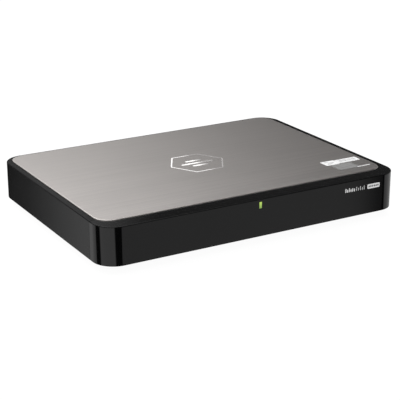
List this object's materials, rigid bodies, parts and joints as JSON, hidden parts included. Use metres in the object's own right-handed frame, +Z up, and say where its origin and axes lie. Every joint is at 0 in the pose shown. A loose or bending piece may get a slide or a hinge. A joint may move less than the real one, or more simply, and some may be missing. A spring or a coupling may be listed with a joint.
{
  "type": "network attached storage",
  "caption": "Low, flat desktop storage box with a brushed metal top plate, a pull-off front cover, drive bays behind it and sockets at the back.",
  "frame": {"origin": "on the supporting surface under the middle of the case", "axes": "+Z up, front faces -Y, +X to the right of a person facing the front"},
  "size_m": [0.302, 0.22, 0.0425],
  "materials": {
    "black_shell": "black ABS with a fine satin texture",
    "black_cover": "black ABS, semi-gloss",
    "plate": "fine brushed along X, clear anodised",
    "clear": "clear acrylic",
    "steel_sheet": "zinc plated sheet steel",
    "pan_paint": "black powder coat",
    "panel_paint": "black powder coat",
    "frame_plastic": "moulded, satin",
    "sled_plastic": "moulded, satin",
    "lever_plastic": "moulded, satin",
    "rubber": "moulded rubber",
    "screw_steel": "plated",
    "magnet_nickel": "nickel plated",
    "board_green": "circuit board, solder mask",
    "chip_black": "moulded package",
    "coil_grey": "pressed powder core",
    "capacitor": "aluminium can",
    "heatsink": "black anodised",
    "thermal": "soft silicone",
    "socket_shell": "tin plated shell",
    "socket_black": "moulded",
    "casting": "die cast",
    "lid_steel": "stamped stainless",
    "button": "moulded",
    "flat_cable": "flat flexible cable",
    "standoff_brass": "turned"
  },
  "bodies": {
    "case": {"backplane_board": "board_green", "base_pan": "pan_paint", "board_capacitors": "capacitor", "board_chips": "chip_black", "board_coils": "coil_grey", "board_link_connector": "socket_black", "board_screws": "screw_steel", "buzzer": "chip_black", "cage_feet": "steel_sheet", "cage_floors": "steel_sheet", "cage_top": "steel_sheet", "cage_walls": "steel_sheet", "case_screws": "screw_steel", "clock_battery": "socket_shell", "dc_jack": "socket_black", "frame_magnets": "magnet_nickel", "front_frame": "frame_plastic", "hdmi_ports": "socket_shell", "heatsink": "heatsink", "heatsink_screws": "screw_steel", "indicator_board": "board_green", "indicator_cable": "flat_cable", "indicator_led": "clear", "lan_ports": "socket_shell", "lock_bracket": "steel_sheet", "mainboard": "board_green", "memory_chips": "chip_black", "power_switch": "chip_black", "processor": "chip_black", "rear_panel": "panel_paint", "rear_screws": "screw_steel", "reset_switch": "chip_black", "rubber_feet": "rubber", "sata_sockets": "socket_black", "standoffs": "standoff_brass", "thermal_pad": "thermal", "top_plate": "plate", "top_shell": "black_shell", "usb_ports_left": "socket_shell", "usb_ports_right": "socket_shell"},
    "front_cover_body": {"front_cover": "black_cover", "light_pipe": "clear", "cover_keepers": "screw_steel"},
    "power_button_body": {"power_button": "button"},
    "reset_button_body": {"reset_button": "button"},
    "left_tray": {"left_sled": "sled_plastic", "left_lever_pin": "screw_steel", "left_tray_screws": "screw_steel", "left_drive_casting": "casting", "left_drive_lid": "lid_steel", "left_drive_board": "board_green"},
    "left_lever_body": {"left_lever": "lever_plastic"},
    "right_tray": {"right_sled": "sled_plastic", "right_lever_pin": "screw_steel", "right_tray_screws": "screw_steel", "right_drive_casting": "casting", "right_drive_lid": "lid_steel", "right_drive_board": "board_green"},
    "right_lever_body": {"right_lever": "lever_plastic"}
  },
  "joints": [
    {"name": "cover_pull", "type": "slide", "parent": "case", "child": "front_cover_body", "axis": [0, -1, 0], "range_m": [0, 0.25]},
    {"name": "left_tray_slide", "type": "slide", "parent": "case", "child": "left_tray", "axis": [0, -1, 0], "range_m": [0, 0.14]},
    {"name": "left_lever_hinge", "type": "hinge", "parent": "left_tray", "child": "left_lever_body", "pos_m": [-0.11, -0.1035, 0.023], "axis": [0, 0, -1], "range_deg": [0, 62]},
    {"name": "right_tray_slide", "type": "slide", "parent": "case", "child": "right_tray", "axis": [0, -1, 0], "range_m": [0, 0.14]},
    {"name": "right_lever_hinge", "type": "hinge", "parent": "right_tray", "child": "right_lever_body", "pos_m": [0.11, -0.1035, 0.023], "axis": [0, 0, 1], "range_deg": [0, 62]},
    {"name": "power_button_press", "type": "slide", "parent": "case", "child": "power_button_body", "axis": [0, -1, 0], "range_m": [0, 0.0012], "stiffness_N_per_m": 800, "springref_m": -0.0006},
    {"name": "reset_button_press", "type": "slide", "parent": "case", "child": "reset_button_body", "axis": [0, -1, 0], "range_m": [0, 0.0005], "stiffness_N_per_m": 1000, "springref_m": -0.0004}
  ],
  "couplings": [
    {"joint": "left_tray_slide", "follows": "cover_pull", "ratio": 0.54},
    {"joint": "left_lever_hinge", "follows": "cover_pull", "rad_per_m": 4.18},
    {"joint": "right_tray_slide", "follows": "cover_pull", "ratio": 0.54},
    {"joint": "right_lever_hinge", "follows": "cover_pull", "rad_per_m": 4.18}
  ]
}
